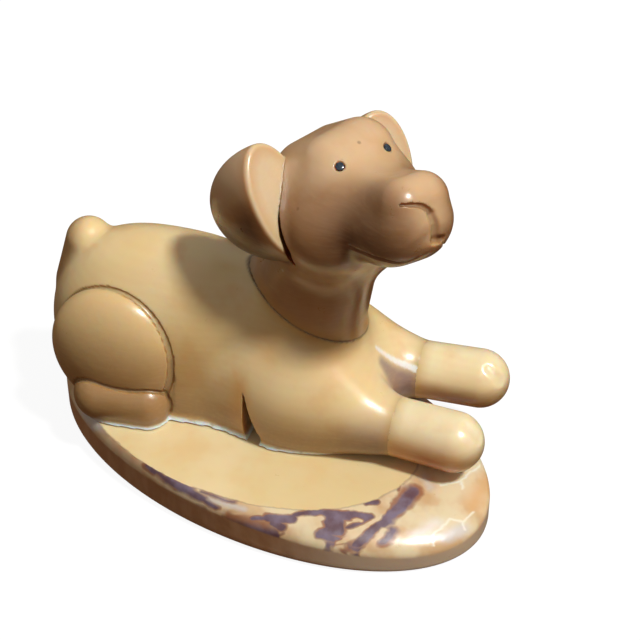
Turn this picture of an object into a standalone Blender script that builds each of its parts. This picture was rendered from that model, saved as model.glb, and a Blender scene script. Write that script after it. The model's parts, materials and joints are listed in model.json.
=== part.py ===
"""A lying puppy carved from palm nuts, glued on an oval slice of the same nut.

The trunk, head and forepaws are separate nuts, and the eyes are black inlays.
Each carved piece is a blend of a few ellipsoids, tapers and blocks. The blend
is written as a distance field, meshed at its surface, and then decimated.
"""
import bmesh
import bpy
import numpy as np

MM = 0.001

# Sizes in millimetres.  +X is the way the dog lies, +Y its left, +Z up.
# Heights named "above the slice" are measured from the slice's flat top.
SLICE = 6.0                     # thickness of the nut slice, underside to flat top
GAP = 0.3                       # clearance between two pieces that touch

# Nut slice: an oval with a smaller sanded oval on top and curved skin between.
SLICE_HALF = (29.8, 16.3)
SLICE_TURN = -13.5              # degrees, long axis against the dog's length
FLAT_CENTRE = (-3.4, 0.1)       # in the slice's own axes
FLAT_HALF = (23.5, 15.7)
WALL_TOP = 4.3                  # height of the sawn side wall
WALL_DIP = 1.8                  # how far the wall drops at the nut's nose
WALL_DIP_AT = -20.0             # degrees round the oval
WALL_DIP_POWER = 3.0            # how closely the drop keeps to the nose
WALL_ROUND = 1.2                # rounding under the wall
SKIN_SLOPE = 0.3                # share of the skin's fall that is straight, the rest is round

# The dog's own origin lies on its centre line, off the slice's middle.
DOG_AT = (-2.9, 4.5)

# Trunk: three ellipsoids, each given by X, height above the slice, radii.
RUMP = dict(x=-16.6, z=6.7, radii=(10.8, 8.9, 13.1))
BARREL = dict(x=-7.6, z=3.4, radii=(14.3, 9.1, 18.0))
CHEST = dict(x=6.4, z=3.4, radii=(9.7, 8.9, 9.8))
TRUNK_BLEND = 5.0
BELLY_ROUND = 0.6               # rounding where the trunk meets the slice

# Neck: a tapering column, a little narrower across than along.
NECK_FOOT = (5.7, 0.0, 11.8)
NECK_TOP = (9.8, -0.8, 28.6)
NECK_RADII = (7.3, 6.0)
NECK_NARROWING = 0.84
NECK_BLEND = 5.0
SEAM_AT = (6.0, 0.0, 17.1)      # glue seam between the trunk and the neck
SEAM_TILT = 26.0                # degrees the seam leans forward

# Hind legs and tail.
HAUNCH = dict(at=(-16.0, 7.4, 7.7), radii=(8.6, 4.3, 8.9), lean=3.0)
FAR_DROP = 2.0                  # the left haunch sits lower
FOOT = dict(heel=(-17.4, 9.9, 2.6), toe=(-11.5, 9.6, 2.5), radii=(3.5, 3.1))
TAIL = dict(root=(-24.8, 1.2, 10.6), tip=(-22.9, 1.2, 17.0), radius=2.9, blend=1.0)

# Forelegs: shoulder, upper leg, paw.
SHOULDER = dict(at=(6.9, 5.5, 4.7), radii=(9.9, 4.6, 7.3), blend=3.4)
LEG = dict(elbow=(6.9, 5.3, 4.7), wrist=(16.4, 5.3, 4.0), tip=(26.7, 6.0, 4.2), blend=1.7)
LEG_RADII = (4.6, 3.6, 3.7)     # at elbow, wrist and tip
PAW_START = 19.6                # X of the seam between foreleg and paw
PAW_ROUND = 0.8                 # rounding under the paw
NOTCH = dict(front=1.3, height=7.6, width=2.7, depth=2.2)   # elbow notch

# Head, in its own axes: +X along the muzzle, +Y its left, +Z up.
HEAD_AT = (10.2, 0.2, 33.7)
HEAD_TURN = (-30.5, 26.0, -8.4)  # yaw, pitch and roll in degrees
SKULL = dict(at=(-0.3, 0.7, -0.2), half=(6.3, 6.1, 6.6), rounding=3.9, turn=(0.0, 10.0, 11.0))
CHEEKS = dict(at=(1.2, 3.5, -3.5), radii=(5.7, 5.4, 5.9), blend=2.5)
BRIDGE = dict(at=(8.7, 0.0, -2.2), half=(6.85, 4.4, 3.9), rounding=3.0, blend=4.5)
FLEWS = dict(at=(9.5, 1.5, -4.3), radii=(5.3, 4.0, 4.1), cleft=0.8, blend=1.5)
JAW = dict(at=(8.9, 0.0, -5.7), radii=(6.1, 3.6, 2.4), blend=1.0)
FACE_BLEND = 4.6                # face into neck
EAR = dict(at=(-1.3, 7.3, -0.2), radii=(11.4, 4.1, 7.1), turn=(-9.0, 9.8, 10.6), rim=0.7)
EYE = dict(right=(5.7, -3.7, 3.2), left=(5.9, 3.2, 3.8), radius=0.5, depth=1.1, proud=0.12)
SIDES = {"right": -1, "left": 1}


# ---------------------------------------------------------------- fields
# A solid is a function of points: negative inside, zero on its surface.

def length(v):
    return np.sqrt((v * v).sum(axis=-1))


def rotation(yaw, pitch=0.0, roll=0.0):
    """Matrix whose columns are a turned frame's forward, left and up."""
    y, p, r = np.radians([yaw, pitch, roll])
    about_z = [[np.cos(y), -np.sin(y), 0], [np.sin(y), np.cos(y), 0], [0, 0, 1]]
    about_y = [[np.cos(p), 0, -np.sin(p)], [0, 1, 0], [np.sin(p), 0, np.cos(p)]]
    about_x = [[1, 0, 0], [0, np.cos(r), -np.sin(r)], [0, np.sin(r), np.cos(r)]]
    return np.array(about_z) @ np.array(about_y) @ np.array(about_x)


def ellipsoid(p, at, radii, frame=None):
    q = p - np.array(at)
    if frame is not None:
        q = q @ frame
    near = length(q / radii)
    slope = length(q / np.square(radii))
    return near * (near - 1.0) / np.maximum(slope, 1e-9)


def cone(p, start, end, start_radius, end_radius):
    """A round-ended taper between two points."""
    start, end = np.array(start), np.array(end)
    along = end - start
    t = np.clip((p - start) @ along / (along @ along), 0.0, 1.0)
    return length(p - start - t[:, None] * along) - start_radius - (end_radius - start_radius) * t


def block(p, at, half, rounding):
    q = np.abs(p - np.array(at)) - np.array(half) + rounding
    return length(np.maximum(q, 0.0)) + np.minimum(q.max(axis=-1), 0.0) - rounding


def join(a, b, blend):
    """Union whose seam is filled over about the blend's length."""
    h = np.maximum(blend - np.abs(a - b), 0.0) / blend
    return np.minimum(a, b) - h * h * blend / 4.0


def meet(a, b, blend):
    """Intersection with rounded edges."""
    return -join(-a, -b, blend)


def raised(at):
    """A place given above the slice, as a point of the model."""
    return (at[0], at[1], at[2] + SLICE)


def sided(at, side):
    """The same place on the dog's left (side 1) or right (side -1)."""
    return (at[0], at[1] * side, at[2])


# ---------------------------------------------------------------- trunk
def trunk(p):
    d = None
    for lump in (RUMP, BARREL, CHEST):
        e = ellipsoid(p, raised((lump["x"], 0.0, lump["z"])), lump["radii"])
        d = e if d is None else join(d, e, TRUNK_BLEND)
    return d


def neck(p):
    foot, top = np.array(raised(NECK_FOOT)), np.array(raised(NECK_TOP))
    along = top - foot
    t = np.clip((p - foot) @ along / (along @ along), 0.0, 1.0)
    q = (p - foot - t[:, None] * along) / (1.0, NECK_NARROWING, 1.0)
    radius = NECK_RADII[0] + (NECK_RADII[1] - NECK_RADII[0]) * t
    return (length(q) - radius) * NECK_NARROWING


def trunk_and_neck(p):
    return join(trunk(p), neck(p), NECK_BLEND)


def above_seam(p):
    """Distance above the plane in which the neck is glued to the trunk."""
    tilt = np.radians(SEAM_TILT)
    return (p - raised(SEAM_AT)) @ (np.sin(tilt), 0.0, np.cos(tilt))


def foreleg(p, side):
    elbow, wrist, tip = (raised(sided(LEG[k], side)) for k in ("elbow", "wrist", "tip"))
    upper = cone(p, elbow, wrist, LEG_RADII[0], LEG_RADII[1])
    lower = cone(p, wrist, tip, LEG_RADII[1], LEG_RADII[2])
    return join(upper, lower, LEG["blend"])


def haunch(p, side):
    lean = rotation(0.0, 0.0, side * HAUNCH["lean"])
    x, y, z = raised(sided(HAUNCH["at"], side))
    return ellipsoid(p, (x, y, z - FAR_DROP * (side > 0)), HAUNCH["radii"], lean)


def hind_foot(p, side):
    heel, toe = raised(sided(FOOT["heel"], side)), raised(sided(FOOT["toe"], side))
    return cone(p, heel, toe, *FOOT["radii"])


def tail(p):
    return cone(p, raised(TAIL["root"]), raised(TAIL["tip"]), TAIL["radius"], TAIL["radius"])


def elbow_notch(p, side):
    """A three-sided sliver cut up into the flank behind the elbow."""
    x, z = p[:, 0] - NOTCH["front"], p[:, 2] - SLICE
    slant = np.hypot(NOTCH["width"], NOTCH["height"])
    front = (x * NOTCH["height"] + (z - NOTCH["height"]) * NOTCH["width"]) / slant
    front = np.maximum(front, z - NOTCH["height"])
    outer = -(trunk(p) + NOTCH["depth"])
    return np.maximum(np.maximum(np.maximum(-x, front), outer), -side * p[:, 1])


def body(p):
    d = np.maximum(trunk_and_neck(p), above_seam(p) + GAP / 2)
    for side in (-1, 1):
        upper = np.maximum(foreleg(p, side), p[:, 0] - PAW_START + GAP / 2)
        shoulder = ellipsoid(p, raised(sided(SHOULDER["at"], side)), SHOULDER["radii"])
        d = join(d, join(shoulder, upper, SHOULDER["blend"]), SHOULDER["blend"])
        d = np.minimum(d, haunch(p, side))
        d = np.minimum(d, hind_foot(p, side))
        d = np.maximum(d, -elbow_notch(p, side))
    d = join(d, tail(p), TAIL["blend"])
    d = meet(d, SLICE + GAP - p[:, 2], BELLY_ROUND)
    return np.maximum(d, GAP - head(p))


def paw(p, side):
    d = np.maximum(foreleg(p, side), PAW_START + GAP / 2 - p[:, 0])
    return meet(d, SLICE + GAP - p[:, 2], PAW_ROUND)


# ---------------------------------------------------------------- head
def head_frame():
    return np.array(raised(HEAD_AT)), rotation(*HEAD_TURN)


def face(q):
    """Skull, cheeks and muzzle, in the head's own axes."""
    d = block(q @ rotation(*SKULL["turn"]), SKULL["at"], SKULL["half"], SKULL["rounding"])
    for side in (-1, 1):
        d = join(d, ellipsoid(q, sided(CHEEKS["at"], side), CHEEKS["radii"]), CHEEKS["blend"])
    d = join(d, block(q, BRIDGE["at"], BRIDGE["half"], BRIDGE["rounding"]), BRIDGE["blend"])
    left, right = (ellipsoid(q, sided(FLEWS["at"], side), FLEWS["radii"]) for side in (1, -1))
    d = join(d, join(left, right, FLEWS["cleft"]), FLEWS["blend"])
    return join(d, ellipsoid(q, JAW["at"], JAW["radii"]), JAW["blend"])


def ear(q, side):
    """Half an ellipsoid, flat in front, hanging beside the skull."""
    yaw, pitch, roll = EAR["turn"]
    frame = rotation(side * yaw, pitch, -side * roll)
    at = np.array(sided(EAR["at"], side))
    return meet(ellipsoid(q, at, EAR["radii"], frame), ((q - at) @ frame)[:, 0], EAR["rim"])


def head(p):
    at, frame = head_frame()
    q = (p - at) @ frame
    d = np.maximum(trunk_and_neck(p), GAP / 2 - above_seam(p))
    d = join(d, face(q), FACE_BLEND)
    return np.minimum(d, np.minimum(ear(q, 1), ear(q, -1)))


# ---------------------------------------------------------------- meshing
CELL = 0.75                     # edge of a meshing cell, in millimetres
ROUNDS = 4                      # times the vertices are evened out


def sample(field, points):
    """The field's values, worked out in batches to spare memory."""
    batches = np.array_split(points, 1 + len(points) // 100000)
    return np.concatenate([field(batch) for batch in batches])


def quads_along(inside, number, axis):
    """A quad for each lattice edge along an axis that the surface crosses."""
    b, c = (axis + 1) % 3, (axis + 2) % 3
    first = np.take(inside, range(inside.shape[axis] - 1), axis)
    second = np.take(inside, range(1, inside.shape[axis]), axis)
    at = np.argwhere(first != second)
    at = at[(at[:, b] > 0) & (at[:, c] > 0) & (at[:, b] < number.shape[b]) & (at[:, c] < number.shape[c])]
    steps = np.zeros((4, 3), int)
    steps[1:3, b] = 1
    steps[2:4, c] = 1
    quads = np.stack([number[tuple((at - step).T)] for step in steps], axis=1)
    outward = first[tuple(at.T)]
    return np.where(outward[:, None], quads, quads[:, ::-1])


def fill_pinches(inside):
    """Fill lattice corners where two lobes of a solid would touch along an edge."""
    for _ in range(4):
        for axis in range(3):
            layers = np.moveaxis(inside, axis, 0)
            corners = [layers[:, i:layers.shape[1] - 1 + i, j:layers.shape[2] - 1 + j]
                       for i, j in ((0, 0), (0, 1), (1, 0), (1, 1))]
            a, b, c, d = corners
            pinch = (a == d) & (b == c) & (a != b)
            for corner in corners:
                corner |= pinch


def drop_onto(field, points, reach):
    """Move points along the field's slope until they lie on its surface."""
    small = reach * 0.02
    for _ in range(3):
        value = sample(field, points)
        slope = np.empty_like(points)
        for axis in range(3):
            ahead = points.copy()
            ahead[:, axis] += small
            slope[:, axis] = (sample(field, ahead) - value) / small
        move = value / np.maximum((slope * slope).sum(axis=1), 0.05)
        points = points - np.clip(move, -reach, reach)[:, None] * slope
    return points


def surface(field, low, high, cell):
    """Vertices and quads of the closed surface inside a box (surface nets)."""
    axes = [np.arange(a, b + cell, cell) for a, b in zip(low, high)]
    lattice = np.stack(np.meshgrid(*axes, indexing="ij"), axis=-1)
    inside = sample(field, lattice.reshape(-1, 3)).reshape(lattice.shape[:3]) < 0.0
    fill_pinches(inside)
    nx, ny, nz = (n - 1 for n in inside.shape)
    corners = [inside[i:i + nx, j:j + ny, k:k + nz] for i in (0, 1) for j in (0, 1) for k in (0, 1)]
    full = np.sum(corners, axis=0)
    crossed = (full > 0) & (full < 8)
    number = np.full(crossed.shape, -1)
    number[crossed] = np.arange(crossed.sum())
    points = np.array(low) + (np.argwhere(crossed) + 0.5) * cell
    quads = np.concatenate([quads_along(inside, number, axis) for axis in range(3)])
    ends = np.concatenate([quads[:, [i, (i + 1) % 4]] for i in range(4)])
    degree = np.bincount(ends[:, 0], minlength=len(points))[:, None]
    for _ in range(ROUNDS):
        around = np.stack([np.bincount(ends[:, 0], points[ends[:, 1], k]) for k in range(3)], axis=1)
        points = drop_onto(field, (points + around / degree) / 2.0, cell / 2.0)
    return points, quads


# ---------------------------------------------------------------- objects
# Boxes that the carved pieces lie in, in the dog's own coordinates, and how many triangles each keeps.
BODY_BOX, BODY_TRIANGLES = ((-31.0, -15.0, 4.0), (22.0, 15.0, 32.0)), 4200
HEAD_BOX, HEAD_TRIANGLES = ((-9.0, -18.0, 19.0), (30.0, 18.0, 54.0)), 3000
PAW_BOX, PAW_TRIANGLES = ((18.0, -6.0, 5.0), (33.0, 6.0, 16.0)), 420     # Y from the leg's middle
SHARP = np.radians(35.0)        # a sharper edge than this stays crisp on the slice


def material(name, colour, roughness):
    mat = bpy.data.materials.new(name)
    mat.use_nodes = True
    shader = mat.node_tree.nodes["Principled BSDF"]
    shader.inputs["Base Color"].default_value = (*colour, 1.0)
    shader.inputs["Roughness"].default_value = roughness
    shader.inputs["Metallic"].default_value = 0.0
    return mat


def add_object(name, mesh, mat, parent=None):
    obj = bpy.data.objects.new(name, mesh)
    bpy.context.scene.collection.objects.link(obj)
    mesh.materials.append(mat)
    obj.parent = parent
    return obj


def carve(name, field, box, triangles, mat, parent):
    """Mesh a carved piece and cut its surface down to a number of triangles."""
    points, quads = surface(field, *box, CELL)
    mesh = bpy.data.meshes.new(name)
    mesh.from_pydata((points * MM).tolist(), [], quads.tolist())
    mesh.shade_smooth()
    obj = add_object(name, mesh, mat, parent)
    decimate = obj.modifiers.new("Decimate", "DECIMATE")
    decimate.ratio = triangles / (2.0 * len(quads))
    return obj


# ---------------------------------------------------------------- slice
AROUND = np.radians(np.arange(0.0, 360.0, 5.0))             # stations round the slice
UNDER_STEPS = np.radians([0.0, 30.0, 60.0])                 # up the rounding under the wall
SKIN_STEPS = np.radians([70.0, 52.0, 36.0, 20.0, 0.0])      # from the wall in to the flat top


def oval(centre, half, height):
    """Points round an oval that is turned with the slice."""
    flat = np.stack([centre[0] + half[0] * np.cos(AROUND), centre[1] + half[1] * np.sin(AROUND)], axis=1)
    flat = flat @ rotation(SLICE_TURN)[:2, :2].T
    return np.column_stack([flat, np.broadcast_to(height, len(AROUND))])


def wall_top():
    """Height of the side wall round the slice, which falls towards the nut's nose."""
    nose = np.clip(np.cos(AROUND - np.radians(WALL_DIP_AT)), 0.0, 1.0)
    return WALL_TOP - WALL_DIP * nose ** WALL_DIP_POWER


def skin_fall(out):
    """Share of the skin's fall, from 0 at the flat top to 1 at the wall."""
    return SKIN_SLOPE * out + (1.0 - SKIN_SLOPE) * (1.0 - np.sqrt(1.0 - out * out))


def slice_rings():
    """Ovals from the underside up the wall and over the skin to the flat top."""
    centre, half, rim = np.zeros(2), np.array(SLICE_HALF), wall_top()
    for angle in UNDER_STEPS:
        height = WALL_ROUND * (1.0 - np.cos(angle))
        yield oval(centre, half - WALL_ROUND * (1.0 - np.sin(angle)), height * rim / WALL_TOP)
    yield oval(centre, half, WALL_ROUND * rim / WALL_TOP)
    yield oval(centre, half, rim)
    for angle in SKIN_STEPS:
        out = np.sin(angle)
        ring_centre = np.array(FLAT_CENTRE) * (1.0 - out)
        ring_half = np.array(FLAT_HALF) * (1.0 - out) + half * out
        yield oval(ring_centre, ring_half, SLICE - (SLICE - rim) * skin_fall(out))


def make_slice(mat):
    bm = bmesh.new()
    rings = [[bm.verts.new(point * MM) for point in ring] for ring in slice_rings()]
    for lower, upper in zip(rings[:-1], rings[1:]):
        for i in range(len(lower)):
            j = (i + 1) % len(lower)
            bm.faces.new((lower[i], lower[j], upper[j], upper[i]))
    bm.faces.new(rings[0][::-1])
    bm.faces.new(rings[-1])
    mesh = bpy.data.meshes.new("base")
    bm.to_mesh(mesh)
    bm.free()
    mesh.shade_smooth()
    mesh.set_sharp_from_angle(angle=SHARP)
    return add_object("base", mesh, mat)


# ---------------------------------------------------------------- eyes
EYE_SEGMENTS = 16
DOME = ((1.0, 0.2), (0.75, 0.7))        # radius and height of each ring of an eye's dome, as shares
SOCKET_PROUD = 1.5                      # how far a cutter stands out of the face


def eye_place(name):
    """Where an eye meets the face, and the face's outward direction there."""
    at, frame = head_frame()
    start = at + frame @ np.array(EYE[name])
    points = drop_onto(head, start[None, :], 2.0)
    around = np.repeat(points, 3, axis=0) + np.eye(3) * 0.05
    slope = head(around) - head(points)
    return points[0], slope / np.linalg.norm(slope)


def add_ring(bm, place, across, up, radius):
    ring = []
    for angle in np.linspace(0.0, 2.0 * np.pi, EYE_SEGMENTS, endpoint=False):
        ring.append(bm.verts.new((place + radius * (np.cos(angle) * across + np.sin(angle) * up)) * MM))
    return ring


def plug(name, eye, radius, depth, proud, parent):
    """A round plug along the face's outward direction, with a domed end."""
    place, out = eye_place(eye)
    across = np.cross(out, (0.0, 0.0, 1.0))
    across /= np.linalg.norm(across)
    up = np.cross(across, out)
    bm = bmesh.new()
    rings = [add_ring(bm, place - out * depth, across, up, radius)]
    for share, height in DOME:
        rings.append(add_ring(bm, place + out * proud * height, across, up, radius * share))
    for low, high in zip(rings[:-1], rings[1:]):
        for i in range(EYE_SEGMENTS):
            j = (i + 1) % EYE_SEGMENTS
            bm.faces.new((low[i], high[i], high[j], low[j]))
    bm.faces.new(rings[0])
    tip = bm.verts.new((place + out * proud) * MM)
    for i in range(EYE_SEGMENTS):
        bm.faces.new((rings[-1][i], tip, rings[-1][(i + 1) % EYE_SEGMENTS]))
    bmesh.ops.recalc_face_normals(bm, faces=bm.faces)
    mesh = bpy.data.meshes.new(name)
    bm.to_mesh(mesh)
    bm.free()
    mesh.shade_smooth()
    obj = bpy.data.objects.new(name, mesh)
    bpy.context.scene.collection.objects.link(obj)
    obj.parent = parent
    return obj


def make_eye(eye, head_object, mat, parent):
    """A black inlay in a round socket sunk in the head."""
    name = eye + "_eye"
    inlay = plug(name, eye, EYE["radius"], EYE["depth"] - GAP, EYE["proud"], parent)
    inlay.data.materials.append(mat)
    socket = plug(name + "_socket", eye, EYE["radius"] + GAP, EYE["depth"], SOCKET_PROUD, parent)
    socket.hide_render = True
    socket.display_type = "WIRE"
    cut = head_object.modifiers.new(name + "_socket", "BOOLEAN")
    cut.operation = "DIFFERENCE"
    cut.solver = "EXACT"
    cut.object = socket


# ---------------------------------------------------------------- build
def make_forepaw(name, side, mat, parent):
    def field(p):
        return paw(p, side)
    box = np.array(PAW_BOX)
    box[:, 1] += LEG["tip"][1] * side
    carve(name + "_forepaw", field, box, PAW_TRIANGLES, mat, parent)


def main():
    for obj in list(bpy.data.objects):
        bpy.data.objects.remove(obj, do_unlink=True)
    cream = material("cream_nut", (0.72, 0.50, 0.25), 0.3)
    brown = material("brown_nut", (0.42, 0.22, 0.10), 0.25)
    pale = material("pale_nut", (0.83, 0.66, 0.38), 0.3)
    shell = material("nut_slice", (0.70, 0.50, 0.28), 0.3)
    black = material("black_inlay", (0.02, 0.03, 0.05), 0.2)

    make_slice(shell)
    dog = bpy.data.objects.new("dog", None)
    dog.location = (DOG_AT[0] * MM, DOG_AT[1] * MM, 0.0)
    bpy.context.scene.collection.objects.link(dog)
    carve("body", body, BODY_BOX, BODY_TRIANGLES, cream, dog)
    skull = carve("head", head, HEAD_BOX, HEAD_TRIANGLES, brown, dog)
    for name, side in SIDES.items():
        make_forepaw(name, side, pale, dog)
        make_eye(name, skull, black, dog)


main()
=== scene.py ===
"""A puppy carved from palm nuts, lying on a slice of a nut: its looks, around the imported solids."""
import json
from functools import partial

import bpy
import numpy as np
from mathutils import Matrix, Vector

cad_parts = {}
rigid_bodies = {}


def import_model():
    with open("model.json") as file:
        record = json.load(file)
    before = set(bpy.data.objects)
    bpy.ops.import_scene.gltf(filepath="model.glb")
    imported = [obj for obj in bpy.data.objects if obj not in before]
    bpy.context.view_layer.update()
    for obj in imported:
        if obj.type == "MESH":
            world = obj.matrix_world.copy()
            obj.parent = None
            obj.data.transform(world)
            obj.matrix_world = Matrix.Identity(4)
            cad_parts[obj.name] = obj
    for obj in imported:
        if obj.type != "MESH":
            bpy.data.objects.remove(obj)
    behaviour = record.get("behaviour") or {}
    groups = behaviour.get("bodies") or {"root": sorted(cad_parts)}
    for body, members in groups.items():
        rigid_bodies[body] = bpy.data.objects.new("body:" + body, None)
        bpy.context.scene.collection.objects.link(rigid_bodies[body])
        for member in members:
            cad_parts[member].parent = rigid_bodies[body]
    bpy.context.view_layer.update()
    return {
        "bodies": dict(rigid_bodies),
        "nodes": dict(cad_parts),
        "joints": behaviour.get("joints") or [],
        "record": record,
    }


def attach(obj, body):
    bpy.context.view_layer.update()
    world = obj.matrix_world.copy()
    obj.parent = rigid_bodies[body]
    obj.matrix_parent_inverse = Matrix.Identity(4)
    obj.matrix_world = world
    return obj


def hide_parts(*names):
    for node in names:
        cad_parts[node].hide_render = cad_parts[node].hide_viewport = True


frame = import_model()

# Lengths are in millimetres, in the dog's axes: +X is the way it lies, +Y its left, +Z up from the table.
# Heights named "above the slice" are measured from the slice's flat top.  Most sizes were fitted to the
# photo by helper scripts that aren't handed in, then scaled, rounded and partly changed by hand.
MM = 0.001
SLICE = 6.0             # thickness of the nut slice, underside to flat top
GAP = 0.04              # clearance between two pieces that touch

# Nut slice: an oval with a smaller sanded oval on top and curved skin between.
SLICE_HALF = (29.8, 16.3)
SLICE_TURN = -13.5      # degrees, long axis against the dog's length
FLAT_CENTRE = (-3.4, 0.1)  # in the slice's own axes
FLAT_HALF = (23.5, 15.7)
WALL_TOP = 4.3          # height of the sawn side wall
WALL_DIP = 1.8          # how far the wall drops at the nut's nose
WALL_DIP_AT = -20.0     # degrees round the oval
WALL_DIP_POWER = 3.0    # how closely the drop keeps to the nose
WALL_ROUND = 1.2        # rounding under the wall
SKIN_SLOPE = 0.3        # share of the skin's fall that is straight, the rest is round

# The dog's own origin lies on its centre line, off the slice's middle.
DOG_AT = (-2.9, 4.5, 0.0)

# Trunk: three ellipsoids, each given by X, height above the slice, radii.
RUMP = dict(x=-16.6, z=6.7, radii=(10.8, 8.9, 13.1))
BARREL = dict(x=-7.6, z=3.4, radii=(14.3, 9.1, 18.0))
CHEST = dict(x=6.4, z=3.4, radii=(9.7, 8.9, 9.8))
TRUNK_BLEND = 5.0
BELLY_ROUND = 0.6       # rounding where the trunk meets the slice

# Neck: a tapering column, a little narrower across than along.
NECK_FOOT = (5.7, 0.0, 11.8)
NECK_TOP = (9.8, -0.8, 28.6)
NECK_RADII = (7.3, 6.0)
NECK_NARROWING = 0.84
NECK_BLEND = 5.0
SEAM_AT = (6.0, 0.0, 17.1)  # glue seam between the trunk and the neck
SEAM_TILT = 26.0        # degrees the seam leans forward

# Hind legs and tail.
HAUNCH = dict(at=(-16.0, 7.4, 7.7), radii=(8.6, 4.3, 8.9), lean=3.0, groove=0.2)
FAR_DROP = 2.0          # the left haunch sits lower
GROOVE_EDGE = 0.15      # rounding along the grooves round haunch and foot
FOOT = dict(heel=(-17.4, 9.9, 2.6), toe=(-11.5, 9.6, 2.5), radii=(3.5, 3.1), groove=0.2)
TAIL = dict(root=(-24.8, 1.2, 10.6), tip=(-22.9, 1.2, 17.0), radius=2.9, blend=1.0)

# Forelegs: shoulder, upper leg, paw.
SHOULDER = dict(at=(6.9, 5.5, 4.7), radii=(9.9, 4.6, 7.3), blend=3.4)
LEG = dict(elbow=(6.9, 5.3, 4.7), wrist=(16.4, 5.3, 4.0), tip=(26.7, 6.0, 4.2), blend=1.7)
LEG_RADII = (4.6, 3.6, 3.7)  # at elbow, wrist and tip
PAW_START = 19.6        # X of the seam between foreleg and paw
PAW_ROUND = 0.8         # rounding under the paw
NOTCH = dict(front=1.3, height=7.6, width=2.7, depth=2.2)  # elbow notch

# Head, in its own axes: +X along the muzzle, +Y its left, +Z up.
HEAD_AT = (10.2, 0.2, 33.7)
HEAD_TURN = (-30.5, 26.0, -8.4)  # yaw, pitch and roll in degrees
SKULL = dict(at=(-0.3, 0.7, -0.2), half=(6.3, 6.1, 6.6), rounding=3.9, turn=(0.0, 10.0, 11.0))
CHEEKS = dict(at=(1.2, 3.5, -3.5), radii=(5.7, 5.4, 5.9), blend=2.5)
BRIDGE = dict(at=(8.7, 0.0, -2.2), half=(6.85, 4.4, 3.9), rounding=3.0, blend=4.5)
FLEWS = dict(at=(9.5, 1.5, -4.3), radii=(5.3, 4.0, 4.1), cleft=0.8, blend=1.5)
JAW = dict(at=(8.9, 0.0, -5.7), radii=(6.1, 3.6, 2.4), blend=1.0)
FACE_BLEND = 4.6        # face into neck
EAR = dict(at=(-1.3, 7.3, -0.2), radii=(11.4, 4.1, 7.1), turn=(-9.0, 9.8, 10.6), rim=0.7)
EYE = dict(right=(5.7, -3.7, 3.2), left=(5.9, 3.2, 3.8), radius=0.5)
SIDES = {"right": -1, "left": 1}

# ------ engraved lines
# Chains of points in the head's own axes.  The radii run along a chain; the depth is how far it is cut.
# These points and the marks' below were picked on the photo by eye and turned into millimetres by a helper
# script, with the fitted camera, or placed by hand near points that were.
LIP = dict(line=((14.3, -3.6, -0.6), (14.8, -3.0, -0.9), (15.2, -2.4, -1.0), (15.5, -1.6, -1.2),
                 (15.6, -0.9, -1.5), (15.6, -0.3, -2.0), (15.6, 0.0, -2.5)), radii=(0.12, 0.36), depth=0.34)
PHILTRUM = dict(line=((15.6, 0.05, -2.7), (15.6, 0.3, -3.8), (15.4, 0.4, -4.9), (15.2, 0.5, -5.5)),
                radii=(0.4, 0.5), depth=0.42)
PIT = dict(line=((15.3, 0.1, -5.55), (15.2, 0.8, -5.7), (15.0, 1.5, -5.85)), radii=(0.34, 0.42), depth=0.5)
MOUTH = dict(line=((7.6, -5.6, -5.3), (8.9, -5.2, -5.7), (10.5, -4.9, -6.3), (11.7, -4.2, -6.8),
                   (12.3, -3.0, -7.4), (12.9, -2.1, -7.5), (13.5, -1.6, -7.3), (14.1, -1.1, -7.0)),
             radii=(0.3, 0.1), depth=0.16)
FAR_MOUTH = dict(line=((7.6, 5.6, -5.3), (10.5, 4.9, -6.3), (12.0, 3.9, -6.9), (13.5, 2.6, -6.9),
                       (14.6, 1.8, -6.5)), radii=(0.3, 0.12), depth=0.16)
# The cleft between ear and cheek, from top to bottom.  It follows the line where they meet.
CLEFT = dict(line=((-1.2, 7.6, 0.6), (-1.0, 8.0, -0.6), (-0.7, 8.5, -2.2), (-0.6, 8.6, -3.8),
                   (-0.9, 8.2, -5.4), (-1.6, 7.4, -6.8)), radii=(0.02, 0.5))
CLEFT_PASSES = (0.0, 0.4, 0.9, 1.4)     # how deep each pass goes at the bottom
# The line in front of the haunch where shade is painted, in the dog's coordinates, heights above the slice.
HAUNCH_OUTLINE = dict(line=((-8.9, 8.2, 13.6), (-8.4, 8.7, 10.5), (-8.15, 9.2, 7.0), (-8.0, 9.4, 4.4),
                  (-8.0, 9.4, 2.4)), radii=(0.08, 0.16), depth=0.3)
# The crease between two toes on each forepaw, above the slice.
TOES = {-1: ((28.2, -6.4, 7.3), (28.9, -6.5, 6.9), (29.6, -6.5, 6.2)),
        1: ((28.0, 4.6, 7.2), (28.7, 4.5, 6.6), (29.3, 4.5, 5.9))}
TOE_RADII, TOE_DEPTH = (0.4, 0.8), 0.08
# How soft the edges of the cuts are.
LINE_BLEND, CLEFT_BLEND, PIT_BLEND, VALLEY_BLEND, TOE_BLEND = 0.14, 0.25, 0.35, 0.5, 0.7
CUT_REACH = 2.2         # no cut goes deeper than this
EYE_RING, EYE_HOLLOW = 0.07, 0.3        # width and depth of the hollow round an eye
PAW_LAP, PAW_SUNK = 0.35, 0.02          # a paw runs on a little way inside the foreleg
# The bead of dried glue round the body's seat: its size, and the X between which it starts and ends.
GLUE = dict(size=1.5, least=0.02, start=(-19.5, -15.5), end=(15.0, 5.0))

# ------ marks' places and strengths
# Painted glow: a place glows warm where the point this far below it is nearly through to the other side.
THIN, THIN_FADE = 2.6, -1.82
SEAM_WIDTH = 0.13
# Painted shade in grooves and engraved lines: how dark, and how far it reaches beside the line.
CUT_SHADE = dict(lips=(0.7, 0.1), pit=(0.8, 0.1), philtrum=(0.25, 0.1), mouth=(0.6, 0.15), cleft=(0.8, 0.05),
            haunch=(0.3, 0.25), foot=(0.4, 0.18), elbow=(0.4, 0.08), haunch_outline=(0.55, 0.14), toes=(0.08, 0.3))
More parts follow.
